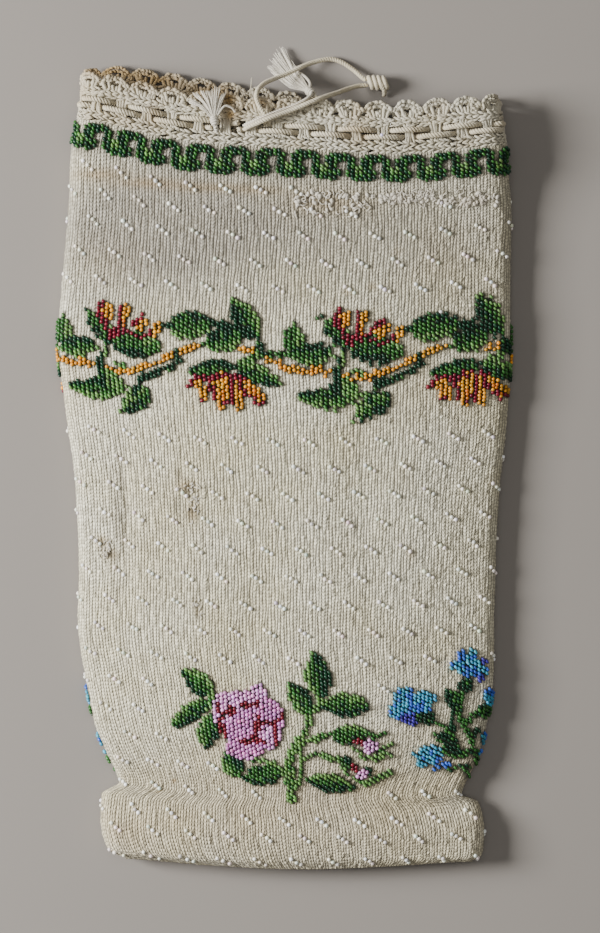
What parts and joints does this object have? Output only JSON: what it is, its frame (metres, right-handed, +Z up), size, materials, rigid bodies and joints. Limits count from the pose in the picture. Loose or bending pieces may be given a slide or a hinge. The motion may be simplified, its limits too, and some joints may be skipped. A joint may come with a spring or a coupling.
{
  "type": "knitted beaded reticule",
  "caption": "Flat knitted drawstring purse with beaded flowers, a crocheted eyelet heading, scalloped edge, looped cord and tassels.",
  "frame": {"origin": "on the surface that the bag lies on, under the middle of the bag", "axes": "+X to the bag's right as seen from above, +Y towards the mouth, +Z up from the back to the front"},
  "size_m": [0.13, 0.2362, 0.0171],
  "materials": {
    "knit": "fine cream cotton knitting, aged and a little yellowed",
    "crochet": "cream cotton crochet",
    "cord": "twisted cotton cord",
    "tassel": "loose off-white threads",
    "beads": "small glass seed beads in several colours"
  },
  "bodies": {
    "root": {"bag_body": "knit", "heading_band": "crochet", "scallop_edging": "crochet", "upper_drawstring": "cord", "lower_drawstring": "cord", "loop_leg_left": "cord", "loop_leg_right": "cord", "loop_knot": "cord", "tassel_left": "tassel", "tassel_right": "tassel"}
  },
  "joints": []
}
